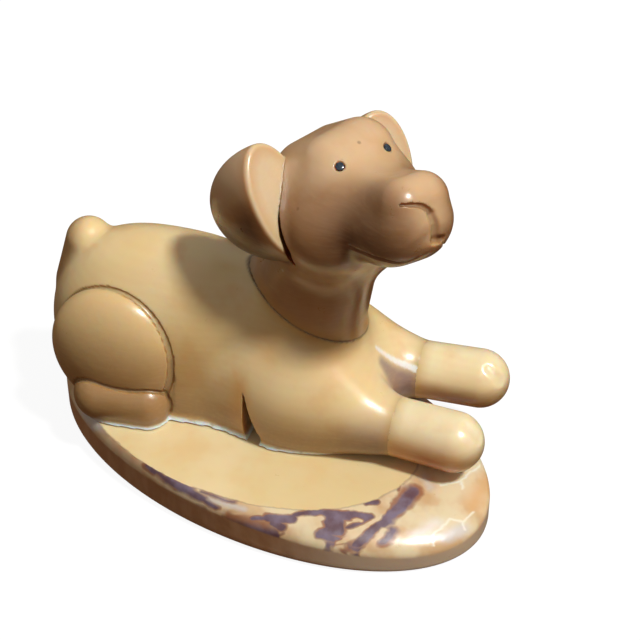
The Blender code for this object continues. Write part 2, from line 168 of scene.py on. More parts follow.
# Where a mark is nothing, where it is full, and its strength there if it isn't 1.  Places are along an axis
# of the head, an ear or the dog, heights above the slice, or distances from a solid.
FADES = dict(mouth_shade=(14.0, 11.0), cleft_shade=(-1.0, -4.5), cheek_side=(0.8, 4.0, 0.95),
             cheek_height=(3.5, 0.0), ear_out=(0.0, 0.4), ear_near=(0.8, 0.2), ear_top_sheen=(0.0, 4.5, 0.65),
             ear_shade=(3.2, -0.8, 0.85), low_flank_shade=(8.0, 1.0, 0.35), stain=(0.6, -0.6, 0.85),
             stain_edge=(0.25, 0.0), glue_height=(0.8, 0.4), glue_start=GLUE["start"], glue_end=(15.0, 10.0),
             tail_shade=(-22.2, -24.8, 0.9), tail_middle=(4.5, 2.5), wrist_x=(10.5, 18.5, 0.85),
             wrist_height=(9.0, 5.0), paw_tip=(30.0, 27.0))
EAR_FRONT = 0.5         # width of the pale band round an ear's front face
# How the painted shade on an ear's outer side leans.
EAR_SLANT = 0.25        # how the dusk inside it leans
ON_SURFACE = 0.3        # a place this near a solid is its own
# Painted shade on the hind feet.
FOOT_SHADE = 0.95        # how rich the hind feet's tone is
# Painted shade under a paw: the height where it starts and how dark it is, on the near and the far paw.
PAW_TOP, PAW_LOW, PAW_SHADE, PAW_SHADE_TONE = (7.4, 5.6), 2.4, (0.95, 0.4), 0.5
# Painted shade on the head, in its own axes: X, Y, Z, reach and strength.
MUZZLE_SHADES = ((7.6, 5.6, -5.0, 3.8, 0.8), (10.8, 5.2, -4.2, 4.2, 0.7), (13.2, 3.5, -4.2, 3.2, 0.45),
                 (11.0, 4.4, -0.8, 2.8, 0.4), (10.0, 3.5, -8.0, 3.0, 0.5))
# The same for places on the body with a painted glow at the edge of a shadow, heights above the slice.
GLOWS = ((11.5, -5.0, 13.0, 3.4, 0.8), (4.0, -8.0, 13.5, 2.5, 0.8))
# A stain at the far foreleg and its pale edge, heights above the slice.
STAINED = dict(line=((15.5, 0.3, 8.3), (17.0, 0.7, 5.9), (18.8, 1.3, 4.3)), radii=(0.7, 1.9))
STAIN_EDGE = dict(line=((14.7, 0.7, 10.2), (15.7, 1.5, 8.7), (16.8, 2.0, 7.6), (18.0, 2.4, 6.9),
                        (19.3, 2.6, 6.4)), radii=(0.1, 0.3))
# Dark specks on the head and a white chip behind its ear, in its own axes.
SPECKS, SPECK_RADIUS = ((2.6, -8.0, -0.7), (5.0, -0.1, 5.0), (15.0, 2.0, 0.8), (-4.0, -4.8, -8.2)), 0.22
CHIP, CHIP_RADIUS = (-5.8, -5.7, -8.9), 0.3
# A pale line along the neck's seam, its half width and soft edge.
CHIP_LINE, CHIP_EDGE = ((-1.9, 0.7, 26.4), (0.7, -3.3, 25.5), (4.2, -5.4, 24.5)), (0.06, 0.09)

# ------ colours
CREAM_NUT = dict(light=(0.82, 0.64, 0.35), deep=(0.77, 0.57, 0.27), warm=(0.68, 0.34, 0.09),
                 grime=(0.10, 0.045, 0.02), dusk=(0.30, 0.205, 0.185), hip=(0.67, 0.47, 0.22),
                 glue=(0.84, 0.81, 0.75))
BROWN_NUT = dict(light=(0.69, 0.47, 0.275), deep=(0.61, 0.38, 0.19), warm=(0.55, 0.28, 0.09),
                 grime=(0.22, 0.085, 0.02), dusk=(0.08, 0.027, 0.010), pale=(0.70, 0.53, 0.33))
PALE_NUT = dict(light=(0.87, 0.75, 0.49), deep=(0.83, 0.67, 0.38), warm=(0.68, 0.34, 0.09),
                grime=(0.50, 0.30, 0.12), dusk=(0.58, 0.22, 0.04))
# Painted shade: sides that face down are darker and richer.
SHADE_FACING, SHADE_TONE = (0.5, -0.15), (0.60, 0.48, 0.38)    # sides that face down are richer
SEAM_DARK, WRIST, CHIP_WHITE = (0.17, 0.085, 0.04), (0.50, 0.34, 0.21), (0.70, 0.62, 0.52)
INLAY, INLAY_PALE = (0.012, 0.022, 0.035), (0.03, 0.05, 0.07)
FLESH, FLESH_DEEP, FLESH_WARM = (0.80, 0.64, 0.37), (0.75, 0.58, 0.30), (0.76, 0.50, 0.23)
SKIN_CREAM, SKIN_TAN = (0.74, 0.61, 0.39), (0.61, 0.40, 0.21)
PURPLE_DARK, PURPLE_PALE = (0.13, 0.065, 0.08), (0.22, 0.165, 0.22)
RUST, VEIN = (0.33, 0.11, 0.035), (0.86, 0.82, 0.70)
WALL_DARK, WALL_PALE, WALL_TAN = (0.41, 0.21, 0.10), (0.48, 0.27, 0.14), (0.60, 0.46, 0.32)
WALL_TURN = (4.0, 18.0)  # from where to where the wall turns tan, X
# Smoke grey, also for a painted glare.
SMOKE_GLARE_TONE = (0.60, 0.57, 0.54)
# Streaks on the slice's skin: start and end, X and Y, half width and softness of the edge.  They were placed
# near such points, where the photo's lines of sight meet the plane of the flat top.  UNROLL is the
# direction of sight, X and Y for each mm of height: places on the skin are slid along it to that plane.
UNROLL = (0.39, -1.13)
PURPLE = ((-11.0, -13.3, -9.7, -14.0, 0.75, 0.4), (-9.4, -14.0, -7.4, -15.0, 0.55, 0.4),
          (-7.6, -14.6, -4.9, -15.6, 0.8, 0.4), (-4.9, -15.7, -2.6, -16.5, 0.65, 0.35),
          (-2.6, -16.6, -0.4, -17.4, 0.4, 0.3), (-3.2, -15.3, 1.0, -15.7, 0.3, 0.4),
          (4.1, -17.5, 5.8, -16.8, 0.45, 0.25), (5.8, -16.6, 8.4, -16.1, 0.85, 0.25),
          (6.7, -17.2, 7.6, -17.7, 0.75, 0.3), (8.6, -15.3, 10.5, -14.1, 0.45, 0.25),
          (10.5, -14.1, 12.4, -13.7, 0.65, 0.25), (12.4, -13.7, 15.6, -13.0, 0.85, 0.25),
          (15.6, -12.8, 16.9, -12.8, 0.55, 0.25), (16.8, -13.2, 15.2, -15.2, 0.45, 0.25),
          (13.1, -14.6, 13.9, -16.2, 1.3, 0.3), (13.9, -16.2, 12.7, -17.2, 1.05, 0.3),
          (13.0, -17.6, 15.0, -18.0, 0.6, 0.3), (16.0, -10.6, 17.1, -10.2, 0.45, 0.2),
          (17.0, -17.6, 17.9, -15.6, 0.65, 0.3), (17.9, -15.6, 19.1, -12.7, 0.8, 0.3),
          (19.1, -12.7, 19.9, -9.6, 1.0, 0.45), (19.9, -9.6, 20.5, -7.2, 1.1, 0.6),
          (19.9, -16.3, 20.2, -14.2, 0.75, 0.5), (18.2, -5.0, 18.9, -7.2, 0.12, 0.3))
CREAM = ((15.1, -18.2, 16.6, -15.6, 0.4, 0.2), (16.6, -15.6, 18.1, -12.6, 0.35, 0.2),
         (18.1, -12.6, 18.5, -8.0, 0.35, 0.25), (18.9, -17.0, 19.4, -14.4, 0.4, 0.25),
         (15.3, -13.8, 16.1, -13.7, 0.35, 0.2), (9.6, -17.9, 10.3, -15.8, 0.9, 0.3),
         (10.5, -15.3, 11.6, -14.7, 0.45, 0.2), (1.8, -17.4, 4.4, -16.4, 0.3, 0.3))
# Pale veins: chains of points, and their half width and soft edge.
VEINS = (((27.2, -0.6), (26.2, -2.2), (25.6, -3.8), (23.4, -5.2)), ((25.6, -3.8), (26.3, -4.8)),
         ((28.6, -8.3), (28.0, -10.2), (26.3, -10.4), (25.7, -12.2), (25.0, -13.4), (25.6, -15.2)),
         ((28.0, -10.2), (28.6, -11.3)))
VEIN_EDGE = (0.15, 0.22)
# Smoky patches; the one at the slice's left end is a painted grey glare.
SMOKE_AND_GLARE = ((26.8, -13.4, 28.3, -11.4, 0.9, 0.7), (-22.3, -5.7, -19.9, -8.7, 1.4, 0.9),
         (22.5, -6.0, 21.0, -4.0, 0.3, 0.8), (-1.8, -16.3, 2.4, -16.4, 0.4, 0.5))
AMBER = ((28.2, -6.9, 28.9, -3.0, 1.3, 1.5),)
# Painted reflection of the sky on the slice's skin.
SKY_SHEEN = ((23.2, -13.8, 25.0, -11.4, 0.8, 1.0),)
AMBER_TONE, SHEEN_TONE = (0.70, 0.40, 0.17), (0.80, 0.74, 0.68)
SHOWN = (-19.0, -10.0, 28.0, -8.0, 9.0, 1.5)    # here the marbling is only what is listed above
# Gloss, how uneven it is, and the height of the hand-rubbed waves.
ROUGH, COAT, GLOSS_SPREAD, WAVE_HEIGHT = 0.3, 0.35, 0.22, 0.035
ASIDE = (31.0, 7.0, 3.0)  # away to another part of the noise


# ------ fields
# A solid is a function of points: negative inside, zero on its surface.

def length(v):
    return np.sqrt((v * v).sum(axis=-1))


def rotation(yaw, pitch=0.0, roll=0.0):
    """Matrix whose columns are a turned frame's forward, left and up."""
    y, p, r = np.radians([yaw, pitch, roll])
    about_z = [[np.cos(y), -np.sin(y), 0], [np.sin(y), np.cos(y), 0], [0, 0, 1]]
    about_y = [[np.cos(p), 0, -np.sin(p)], [0, 1, 0], [np.sin(p), 0, np.cos(p)]]
    about_x = [[1, 0, 0], [0, np.cos(r), -np.sin(r)], [0, np.sin(r), np.cos(r)]]
    return np.array(about_z) @ np.array(about_y) @ np.array(about_x)


def ellipsoid(p, at, radii, frame=None):
    q = p - at
    if frame is not None:
        q = q @ frame
    near = length(q / radii)
    slope = length(q / np.square(radii))
    return near * (near - 1.0) / np.maximum(slope, 1e-9)


def cone(p, start, end, start_radius, end_radius):
    """A round-ended taper between two points."""
    start, end = np.array(start), np.array(end)
    along = end - start
    t = np.clip((p - start) @ along / (along @ along), 0.0, 1.0)
    return length(p - start - t[:, None] * along) - start_radius - (end_radius - start_radius) * t


def block(p, at, half, rounding):
    q = np.abs(p - at) - half + rounding
    return length(np.maximum(q, 0.0)) + np.minimum(q.max(axis=-1), 0.0) - rounding


def ramp(value, low, high, least=0.0):
    """A share that runs straight from low to high."""
    return np.clip((value - low) / (high - low), least, 1.0)


def soft_step(value, low, high, full=1.0):
    share = ramp(value, low, high)
    return full * share * share * (3.0 - 2.0 * share)


def join(a, b, blend):
    """Union whose seam is filled over about the blend's length."""
    h = np.maximum(blend - np.abs(a - b), 0.0) / blend
    return np.minimum(a, b) - h * h * blend / 4.0


def meet(a, b, blend):
    """Intersection with rounded edges."""
    return -join(-a, -b, blend)


def crease(a, b, groove):
    """Union with a round channel along the line where the two meet."""
    return meet(np.minimum(a, b), groove - np.hypot(a, b), GROOVE_EDGE)


def raised(at):
    """A place given above the slice, as a point of the model."""
    return (at[0], at[1], at[2] + SLICE)


def sided(at, side):
    """The same place on the dog's left (side 1) or right (side -1)."""
    return (at[0], at[1] * side, at[2])


# ------ trunk
def trunk(p):
    d = None
    for lump in (RUMP, BARREL, CHEST):
        e = ellipsoid(p, raised((lump["x"], 0.0, lump["z"])), lump["radii"])
        d = e if d is None else join(d, e, TRUNK_BLEND)
    return d


def neck(p):
    foot, top = np.array(raised(NECK_FOOT)), np.array(raised(NECK_TOP))
    along = top - foot
    t = np.clip((p - foot) @ along / (along @ along), 0.0, 1.0)
    q = (p - foot - t[:, None] * along) / (1.0, NECK_NARROWING, 1.0)
    radius = NECK_RADII[0] + (NECK_RADII[1] - NECK_RADII[0]) * t
    return (length(q) - radius) * NECK_NARROWING


def trunk_and_neck(p):
    return join(trunk(p), neck(p), NECK_BLEND)


def above_seam(p):
    """Distance above the plane in which the neck is glued to the trunk."""
    tilt = np.radians(SEAM_TILT)
    return (p - raised(SEAM_AT)) @ (np.sin(tilt), 0.0, np.cos(tilt))


def foreleg(p, side):
    elbow, wrist, tip = (raised(sided(LEG[k], side)) for k in ("elbow", "wrist", "tip"))
    upper = cone(p, elbow, wrist, LEG_RADII[0], LEG_RADII[1])
    lower = cone(p, wrist, tip, LEG_RADII[1], LEG_RADII[2])
    return join(upper, lower, LEG["blend"])


def haunch(p, side):
    lean = rotation(0.0, 0.0, side * HAUNCH["lean"])
    x, y, z = raised(sided(HAUNCH["at"], side))
    return ellipsoid(p, (x, y, z - FAR_DROP * (side > 0)), HAUNCH["radii"], lean)


def hind_foot(p, side):
    heel, toe = raised(sided(FOOT["heel"], side)), raised(sided(FOOT["toe"], side))
    return cone(p, heel, toe, *FOOT["radii"])


def tail(p):
    return cone(p, raised(TAIL["root"]), raised(TAIL["tip"]), TAIL["radius"], TAIL["radius"])


def elbow_notch(p, side):
    """A three-sided sliver cut up into the flank behind the elbow."""
    x, z = p[:, 0] - NOTCH["front"], p[:, 2] - SLICE
    slant = np.hypot(NOTCH["width"], NOTCH["height"])
    front = (x * NOTCH["height"] + (z - NOTCH["height"]) * NOTCH["width"]) / slant
    front = np.maximum(front, z - NOTCH["height"])
    outer = -(trunk(p) + NOTCH["depth"])
    return np.maximum(np.maximum(np.maximum(-x, front), outer), -side * p[:, 1])


def body(p):
    d = np.maximum(trunk_and_neck(p), above_seam(p) + GAP / 2)
    for side in (-1, 1):
        upper = np.maximum(foreleg(p, side), p[:, 0] - PAW_START + GAP / 2)
        shoulder = ellipsoid(p, raised(sided(SHOULDER["at"], side)), SHOULDER["radii"])
        d = join(d, join(shoulder, upper, SHOULDER["blend"]), SHOULDER["blend"])
        d = crease(d, haunch(p, side), HAUNCH["groove"])
        d = crease(d, hind_foot(p, side), FOOT["groove"])
        d = np.maximum(d, -elbow_notch(p, side))
    d = join(d, tail(p), TAIL["blend"])
    d = meet(d, SLICE + GAP - p[:, 2], BELLY_ROUND)
    return np.maximum(d, GAP - head(p))


def paw(p, side):
    d = np.maximum(foreleg(p, side), PAW_START + GAP / 2 - p[:, 0])
    return meet(d, SLICE + GAP - p[:, 2], PAW_ROUND)


# ------ head
HEAD_ORIGIN, HEAD_AXES = np.array(raised(HEAD_AT)), rotation(*HEAD_TURN)


def in_head(p):
    return (p - HEAD_ORIGIN) @ HEAD_AXES


def from_head(q):
    """Points given in the head's own axes."""
    return HEAD_ORIGIN + np.array(q) @ HEAD_AXES.T


def face(q):
    """Skull, cheeks and muzzle, in the head's own axes."""
    d = block(q @ rotation(*SKULL["turn"]), SKULL["at"], SKULL["half"], SKULL["rounding"])
    for side in (-1, 1):
        d = join(d, ellipsoid(q, sided(CHEEKS["at"], side), CHEEKS["radii"]), CHEEKS["blend"])
    d = join(d, block(q, BRIDGE["at"], BRIDGE["half"], BRIDGE["rounding"]), BRIDGE["blend"])
    left, right = (ellipsoid(q, sided(FLEWS["at"], side), FLEWS["radii"]) for side in (1, -1))
    d = join(d, join(left, right, FLEWS["cleft"]), FLEWS["blend"])
    return join(d, ellipsoid(q, JAW["at"], JAW["radii"]), JAW["blend"])


def ear_axes(q, side):
    """Points of the head in an ear's own axes."""
    yaw, pitch, roll = EAR["turn"]
    return (q - sided(EAR["at"], side)) @ rotation(side * yaw, pitch, -side * roll)


def ear(q, side):
    """Half an ellipsoid, flat in front, hanging beside the skull."""
    own = ear_axes(q, side)
    return meet(ellipsoid(own, (0.0, 0.0, 0.0), EAR["radii"]), own[:, 0], EAR["rim"])


def head(p):
    q = in_head(p)
    d = np.maximum(trunk_and_neck(p), GAP / 2 - above_seam(p))
    d = join(d, face(q), FACE_BLEND)
    return np.minimum(d, np.minimum(ear(q, 1), ear(q, -1)))


# ------ meshing
CELL = 0.25      # edge of a meshing cell
BLOCK = 4                               # cells along a block, skipped whole where the surface is far off
BLOCK_REACH = 1.5                       # how near it must be, in blocks
ROUNDS = 3                              # times the vertices are evened out
BATCH = 60000                           # points worked out at a time


def sample(field, points):
    """The field's values, worked out in batches to spare memory."""
    batches = np.array_split(points, 1 + len(points) // BATCH)
    return np.concatenate([field(batch) for batch in batches])


def inside_lattice(field, low, high, cell):
    """Which nodes of a lattice lie inside the solid."""
    low = np.array(low, float)
    blocks = np.ceil((np.array(high) - low) / (cell * BLOCK)).astype(int) + 1
    index = np.indices(blocks).reshape(3, -1).T * BLOCK
    value = sample(field, low + (index + (BLOCK - 1) / 2) * cell)
    inside = np.repeat(value < 0.0, BLOCK ** 3).reshape(len(index), -1)
    near = np.abs(value) < BLOCK_REACH * BLOCK * cell
    steps = np.indices((BLOCK,) * 3).reshape(3, -1).T
    points = low + (index[near][:, None, :] + steps) * cell
    inside[near] = (sample(field, points.reshape(-1, 3)) < 0.0).reshape(-1, BLOCK ** 3)
    inside = inside.reshape(*blocks, BLOCK, BLOCK, BLOCK)
    return inside.transpose(0, 3, 1, 4, 2, 5).reshape(blocks * BLOCK)


def quads_along(inside, number, axis):
    """A quad for each lattice edge along an axis that the surface crosses."""
    b, c = (axis + 1) % 3, (axis + 2) % 3
    first = np.take(inside, range(inside.shape[axis] - 1), axis)
    second = np.take(inside, range(1, inside.shape[axis]), axis)
    at = np.argwhere(first != second)
    at = at[(at[:, b] > 0) & (at[:, c] > 0) & (at[:, b] < number.shape[b]) & (at[:, c] < number.shape[c])]
    steps = np.zeros((4, 3), int)
    steps[1:3, b] = 1
    steps[2:4, c] = 1
    quads = np.stack([number[tuple((at - step).T)] for step in steps], axis=1)
    outward = first[tuple(at.T)]
    return np.where(outward[:, None], quads, quads[:, ::-1])


def fill_pinches(inside):
    """Fill lattice corners where two lobes of a solid would touch along an edge."""
    for _ in range(4):
        for axis in range(3):
            layers = np.moveaxis(inside, axis, 0)
            corners = [layers[:, i:layers.shape[1] - 1 + i, j:layers.shape[2] - 1 + j]
                       for i, j in ((0, 0), (0, 1), (1, 0), (1, 1))]
            a, b, c, d = corners
            pinch = (a == d) & (b == c) & (a != b)
            for corner in corners:
                corner |= pinch


def slopes(field, points, value, small):
    """The field's slope at points where its value is known."""
    slope = np.empty_like(points)
    for axis in range(3):
        ahead = points.copy()
        ahead[:, axis] += small
        slope[:, axis] = (sample(field, ahead) - value) / small
    return slope


def drop_onto(field, points, reach, steps=1):
    """Move points along the field's slope until they lie on its surface."""
    for _ in range(steps):
        value = sample(field, points)
        slope = slopes(field, points, value, reach * 0.02)
        move = value / np.maximum((slope * slope).sum(axis=1), 0.05)
        points = points - np.clip(move, -reach, reach)[:, None] * slope
    return points


def outward(field, points):
    slope = slopes(field, points, sample(field, points), 0.02)
    return slope / np.maximum(length(slope), 1e-6)[:, None]


def surface(field, low, high, cell):
    """Vertices and quads of the closed surface inside a box (surface nets)."""
    inside = inside_lattice(field, low, high, cell)
    fill_pinches(inside)
    nx, ny, nz = (n - 1 for n in inside.shape)
    corners = [inside[i:i + nx, j:j + ny, k:k + nz] for i in (0, 1) for j in (0, 1) for k in (0, 1)]
    full = np.sum(corners, axis=0)
    crossed = (full > 0) & (full < 8)
    number = np.full(crossed.shape, -1)
    number[crossed] = np.arange(crossed.sum())
    points = np.array(low) + (np.argwhere(crossed) + 0.5) * cell
    quads = np.concatenate([quads_along(inside, number, axis) for axis in range(3)])
    ends = np.concatenate([quads[:, [i, (i + 1) % 4]] for i in range(4)])
    degree = np.bincount(ends[:, 0], minlength=len(points))[:, None]
    for _ in range(ROUNDS):
        around = np.stack([np.bincount(ends[:, 0], points[ends[:, 1], k]) for k in range(3)], axis=1)
        points = drop_onto(field, (points + around / degree) / 2.0, cell / 2.0)
    return drop_onto(field, points, cell / 2.0), quads


# ------ engraving
def chain(line, radii):
    """The field of a round rod that runs through a chain of points."""
    def rod(p):
        spans = zip(line[:-1], line[1:], radii[:-1], radii[1:])
        return np.min([cone(p, a, b, ra, rb) for a, b, ra, rb in spans], axis=0)
    return rod


def engraver(field, line, radii, depth):
    """A round-bottomed cut that follows a surface along a chain of points."""
    line = drop_onto(field, np.array(line), 1.0, 6)
    radii = np.linspace(radii[0], radii[1], len(line))
    return chain(line + outward(field, line) * (radii - depth)[:, None], radii)


def head_cut(spec):
    return engraver(head, from_head(spec["line"]), spec["radii"], spec["depth"])


def cleft_cuts(side):
    """The cleft behind the cheek, sunk step by step between cheek and ear."""
    line = np.array([sided(point, side) for point in CLEFT["line"]])
    for _ in range(12):
        line = drop_onto(face, line, 0.5)
        line = drop_onto(lambda q: ear(q, side), line, 0.5)
    radii = np.linspace(*CLEFT["radii"], len(line))
    sunk = np.linspace(0.0, 1.0, len(line))[:, None] * np.array((-0.7, -side * 0.7, 0.0))
    return [chain(from_head(line + sunk * depth), radii) for depth in CLEFT_PASSES]


# A rod along the haunch's outline for painted shade; it is not cut into the body.
def haunch_outline_rod(side):
    line = [raised((x, y * side, z - FAR_DROP * (side > 0))) for x, y, z in HAUNCH_OUTLINE["line"]]
    return engraver(body, line, HAUNCH_OUTLINE["radii"], HAUNCH_OUTLINE["depth"])


def eye_place(name):
    """Where an eye meets the face, and the face's outward direction there."""
    place = drop_onto(head, from_head([EYE[name]]), 2.0, 6)
    return place[0], outward(head, place)[0]


def eye_recess(name):
    place, out = eye_place(name)
    radius = EYE["radius"] + EYE_RING
    return lambda p: np.maximum(cone(p, place - out * 3.0, place + out * 3.0, radius, radius),
                                -(p - place) @ out - EYE_HOLLOW)


def toe_cut(side):
    return engraver(lambda p: paw(p, side), [raised(at) for at in TOES[side]], TOE_RADII, TOE_DEPTH)


LIPS = [head_cut(LIP)]
PITS = [head_cut(PIT)]
MOUTHS = [head_cut(MOUTH), head_cut(FAR_MOUTH)]
CLEFTS = cleft_cuts(-1) + cleft_cuts(1)
VALLEYS = [head_cut(PHILTRUM)]
EYES = [eye_recess(name) for name in SIDES]
HAUNCH_OUTLINES = [haunch_outline_rod(side) for side in (-1, 1)]
TOE_LINES = {side: [toe_cut(side)] for side in (-1, 1)}


def engraved(d, cuts, p, blend=LINE_BLEND):
    near = np.abs(d) < CUT_REACH
    q, e = p[near], d[near]
    for cut in cuts:
        e = meet(e, -cut(q), blend)
    d[near] = e
    return d


def fine_head(p):
    d = engraved(head(p), VALLEYS, p, VALLEY_BLEND)
    d = engraved(d, CLEFTS, p, CLEFT_BLEND)
    d = engraved(d, PITS, p, PIT_BLEND)
    return engraved(d, LIPS + MOUTHS + EYES, p)


def fine_paw(side):
    """A forepaw that runs on a little way inside the foreleg, just under its surface."""
    def field(p):
        d = foreleg(p, side) + PAW_SUNK * (p[:, 0] < PAW_START)
        d = np.maximum(d, PAW_START - PAW_LAP - p[:, 0])
        d = meet(d, SLICE + GAP - p[:, 2], PAW_ROUND)
        return engraved(d, TOE_LINES[side], p, TOE_BLEND)
    return field


def fine_body(p):
    """The body, with a bead of glue run round its seat on the slice."""
    d = body(p)
    bead = GLUE["size"] * ramp(p[:, 0], *GLUE["end"], GLUE["least"])
    bead *= ramp(p[:, 0], *GLUE["start"], GLUE["least"])
    return np.maximum(join(d, p[:, 2] - SLICE, bead), SLICE + GAP - p[:, 2])


# ------ marks
# Numbers kept on the vertices for the materials: 0 where there is nothing, 1 at full strength.
def close_to(distance, width):
    return np.exp(-np.square(distance / width))


def from_crease(p, a, b):
    """Distance from the line where two surfaces meet."""
    sine = length(np.cross(outward(a, p), outward(b, p)))
    return np.hypot(a(p), b(p)) / np.maximum(sine, 0.2)


def cut_shade(kind, distance):
    """Painted shade of a kind of line at a distance outside it."""
    share, width = CUT_SHADE[kind]
    return share * close_to(np.maximum(distance, 0.0), width)


def seam_mark(p):
    return close_to(above_seam(p), SEAM_WIDTH)


def nearest(cuts, p):
    return np.min([cut(p) for cut in cuts], axis=0)


def fade(name, value):
    return soft_step(value, *FADES[name])


def head_marks(p):
    q = in_head(p)
    # Painted shade in the lips, pit, philtrum, mouth and cleft.
    grime = np.max([cut_shade("lips", nearest(LIPS, p)), cut_shade("pit", nearest(PITS, p)),
                    cut_shade("philtrum", nearest(VALLEYS, p)),
                    cut_shade("mouth", nearest(MOUTHS, p)) * fade("mouth_shade", q[:, 0]),
                    cut_shade("cleft", nearest(CLEFTS, p)) * fade("cleft_shade", q[:, 2])], axis=0)
    skull, pale, dusk = face(q), np.zeros(len(p)), np.zeros(len(p))
    for side in (-1, 1):
        flap, own = ear(q, side), ear_axes(q, side)
        here = fade("ear_out", skull - flap) * fade("ear_near", flap)
        front = close_to(own[:, 0], EAR_FRONT) * here
        # A pale band round each ear's front face, and painted sheen on its upper outer side.
        pale = np.max([pale, front, here * fade("ear_top_sheen", own[:, 2])], axis=0)
        # Painted shade on each ear's lower outer side and on the muzzle's sides and underside.
        inner = here * (1.0 - front) * fade("ear_shade", own[:, 2] - EAR_SLANT * own[:, 0])
        shades = [close_to(length(q - sided(at, side)), reach) * share for *at, reach, share in MUZZLE_SHADES]
        dusk = np.max([dusk, inner, *shades], axis=0)
    # Painted shade: darker, richer tone low on the sides of the cheeks and muzzle.
    rich = fade("cheek_side", np.abs(q[:, 1])) * fade("cheek_height", q[:, 2]) * (1.0 - pale)
    return {"grime": grime, "seam": seam_mark(p), "pale": pale, "dusk": dusk, "rich": rich}


def from_rod(spec, p):
    """Distance from a rod given above the slice."""
    line = np.array([raised(at) for at in spec["line"]])
    return chain(line, np.linspace(*spec["radii"], len(line)))(p)


def body_marks(p):
    above = p[:, 2] - SLICE
    # Painted shade: by the haunch's outline, low on the flank, in the creases round haunch, foot and notch.
    grime = [cut_shade("haunch_outline", nearest(HAUNCH_OUTLINES, p)), fade("low_flank_shade", above)]
    for side in (-1, 1):
        thigh, foot = partial(haunch, side=side), partial(hind_foot, side=side)
        low = from_crease(p, lambda x: np.minimum(trunk(x), thigh(x)), foot)
        grime += [cut_shade("haunch", from_crease(p, trunk, thigh) - HAUNCH["groove"]),
                  cut_shade("foot", low - FOOT["groove"]), cut_shade("elbow", elbow_notch(p, side))]
    sole = np.minimum(hind_foot(p, -1), hind_foot(p, 1))
    hip = np.min([sole, haunch(p, -1), haunch(p, 1)], axis=0)
    # Painted shade on the tail's side and on the hind feet.
    tail_shade = fade("tail_shade", p[:, 0]) * fade("tail_middle", np.abs(p[:, 1] - TAIL["tip"][1]))
    glow = [share * close_to(length(p - raised(at)), reach) for *at, reach, share in GLOWS]
    glue = fade("glue_height", above) * fade("glue_end", p[:, 0]) * fade("glue_start", p[:, 0])
    return {"grime": np.max(grime, axis=0), "seam": seam_mark(p),
            "glue": np.maximum(glue, fade("stain_edge", from_rod(STAIN_EDGE, p))),
            "dusk": fade("stain", from_rod(STAINED, p)), "thin": np.max(glow, axis=0),
            "rich": np.maximum(FOOT_SHADE * ramp(sole, ON_SURFACE, 0.0), tail_shade),
            "hip": ramp(hip, ON_SURFACE, 0.0),
            "wrist": fade("wrist_x", p[:, 0]) * fade("wrist_height", above)}


def paw_marks(p):
    near = p[:, 1] < 0.0
    # Painted shade, dark and orange, under each paw, fading towards its tip.
    under = soft_step(p[:, 2] - SLICE, np.where(near, *PAW_TOP), PAW_LOW) * fade("paw_tip", p[:, 0])
    # Painted shade in the toe creases.
    return {"grime": cut_shade("toes", nearest(TOE_LINES[-1] + TOE_LINES[1], p)),
            "dusk": under * np.where(near, *PAW_SHADE), "rich": PAW_SHADE_TONE * under}


# ------ nodes
class Nodes:
    """The nodes of one material.  An input is a number, a vector, a colour or another node's socket."""

    def __init__(self, tree):
        self.tree = tree

    def put(self, value, socket):
        if isinstance(value, bpy.types.NodeSocket):
            self.tree.links.new(value, socket)
        else:
            socket.default_value = value

    def add(self, kind, inputs=None, **settings):
        made = self.tree.nodes.new("ShaderNode" + kind)
        for key, value in settings.items():
            setattr(made, key, value)
        for key, value in (inputs or {}).items():
            self.put(value, made.inputs[key])
        return made

    def maths(self, operation, a, b=0.0, c=0.0, clamp=False):
        return self.add("Math", {0: a, 1: b, 2: c}, operation=operation, use_clamp=clamp).outputs[0]

    def times(self, a, b):
        return self.maths("MULTIPLY", a, b)

    def highest(self, values):
        found = values[0]
        for value in values[1:]:
            found = self.maths("MAXIMUM", found, value)
        return found

    def vector(self, operation, a, b=(0.0, 0.0, 0.0), scale=1.0, output="Vector"):
        return self.add("VectorMath", {0: a, 1: b, 3: scale}, operation=operation).outputs[output]

    def scaled(self, a, scale):
        return self.vector("SCALE", a, scale=scale)

    def moved(self, place, by, share):
        """A place moved by a share of a vector, given for each axis."""
        return self.vector("ADD", place, self.vector("MULTIPLY", by, share))

    def axis(self, place, name):
        return self.add("SeparateXYZ", {0: place}).outputs[name]

    def mix(self, factor, a, b, blend="MIX"):
        """Colour a turned to b by a factor."""
        a, b = ((*colour, 1.0) if isinstance(colour, tuple) else colour for colour in (a, b))
        return self.add("Mix", {0: factor, 6: a, 7: b}, data_type="RGBA", blend_type=blend).outputs[2]

    def step(self, value, low, high, top=1.0):
        """0 below low, rising smoothly to top above high."""
        limits = {0: value, 1: low, 2: high, 4: top}
        return self.add("MapRange", limits, interpolation_type="SMOOTHSTEP").outputs[0]

    def noise(self, place, scale, detail=2.0, roughness=0.5, output=0):
        inputs = {"Vector": place, "Scale": scale, "Detail": detail, "Roughness": roughness}
        return self.add("TexNoise", inputs).outputs[output]

    def mark(self, name):
        return self.add("Attribute", attribute_name=name).outputs["Fac"]


def new_material(name, settings):
    mat = bpy.data.materials.new(name)
    mat.use_nodes = True
    shader = mat.node_tree.nodes["Principled BSDF"]
    for key, value in settings.items():
        shader.inputs[key].default_value = value
    return mat, shader


def polished(name, roughness, coat, subsurface, radius):
    """A new polished material, its shader and nodes, and a surface's place in millimetres."""
    mat, shader = new_material(name, {
        "Metallic": 0.0, "IOR": 1.54, "Roughness": roughness, "Coat Weight": coat, "Coat Roughness": 0.2,
        "Coat IOR": 1.5, "Subsurface Weight": subsurface, "Subsurface Radius": radius,
        "Subsurface Scale": 1.0 * MM})
    n = Nodes(mat.node_tree)
    return mat, shader, n, n.scaled(n.add("TexCoord").outputs["Object"], 1.0 / MM)


